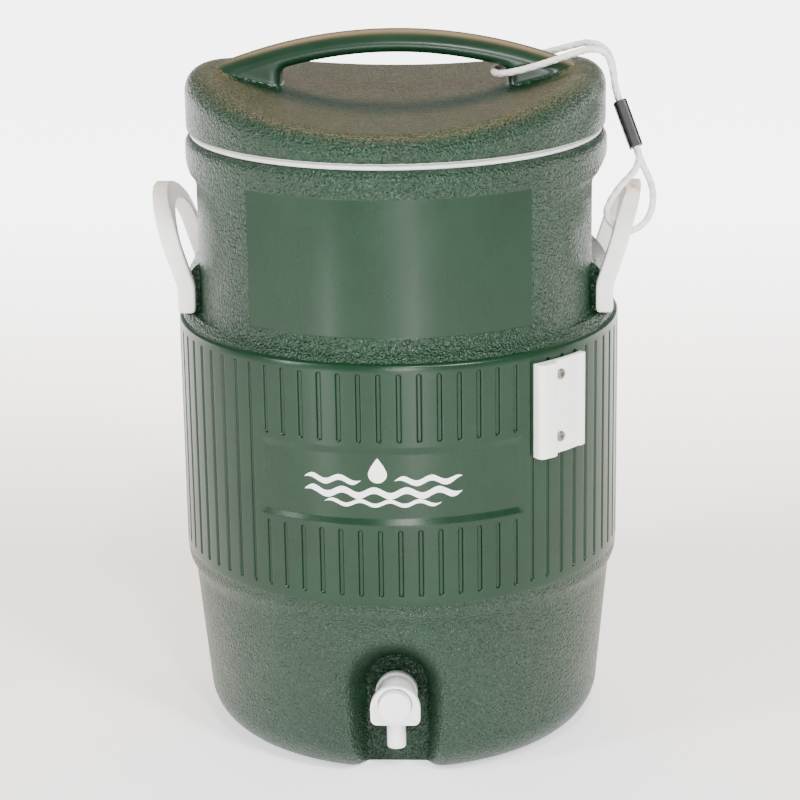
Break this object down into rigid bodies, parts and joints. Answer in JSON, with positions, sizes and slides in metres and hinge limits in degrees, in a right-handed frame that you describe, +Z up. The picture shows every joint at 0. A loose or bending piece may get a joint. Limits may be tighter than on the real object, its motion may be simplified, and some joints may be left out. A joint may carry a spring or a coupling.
{
  "type": "insulated drinking-water jug",
  "caption": "Round insulated drinking-water jug with a lift-off lid and arch handle, two swinging bails, a push-button spigot, a cup-dispenser bracket and a braided lid tether.",
  "frame": {"origin": "centre of the base on the surface the jug stands on", "axes": "+Z up; -Y is the front with the spigot; +X is the side with the tether and cup bracket"},
  "size_m": [0.3445, 0.305, 0.492],
  "materials": {
    "green_shell": "grained semi-gloss polyethylene",
    "white_liner": "smooth food-grade polyethylene",
    "foam": "closed-cell polyurethane foam",
    "white_plastic": "semi-gloss moulded plastic",
    "spigot_white": "gloss moulded plastic",
    "black_plastic": "satin moulded plastic",
    "steel": "plated",
    "rubber": "silicone",
    "cord": "braided nylon"
  },
  "bodies": {
    "jug": {"outer_shell": "green_shell", "foam_insulation": "foam", "inner_liner": "white_liner", "right_pivot_pins": "steel", "left_pivot_pins": "steel", "spigot_body": "spigot_white", "spigot_spring": "steel", "spigot_outer_gasket": "rubber", "spigot_inner_gasket": "rubber", "spigot_nut": "spigot_white", "cup_bracket": "white_plastic", "bracket_screws": "steel", "tether_clamp": "black_plastic", "tether_upper": "cord", "tether_lower": "cord"},
    "lid": {"lid_shell": "green_shell", "lid_foam": "foam", "lid_liner": "white_liner"},
    "right_handle": {"right_bail": "white_plastic"},
    "left_handle": {"left_bail": "white_plastic"},
    "button": {"spigot_button": "spigot_white", "spigot_stem": "spigot_white", "spigot_valve_seal": "rubber"}
  },
  "joints": [
    {"name": "lid_lift", "type": "slide", "parent": "jug", "child": "lid", "axis": [0, 0, 1], "range_m": [0, 0.06], "deforming": ["tether_upper"]},
    {"name": "right_bail_swing", "type": "hinge", "parent": "jug", "child": "right_handle", "pos_m": [0.1417, 0, 0.317], "axis": [0, -1, 0], "range_deg": [0, 14], "deforming": ["tether_lower"]},
    {"name": "left_bail_swing", "type": "hinge", "parent": "jug", "child": "left_handle", "pos_m": [-0.1417, 0, 0.317], "axis": [0, 1, 0], "range_deg": [0, 14]},
    {"name": "button_press", "type": "slide", "parent": "jug", "child": "button", "axis": [0, 1, 0], "range_m": [0, 0.005], "stiffness_N_per_m": 400, "springref_m": -0.004, "deforming": ["spigot_spring"]}
  ]
}
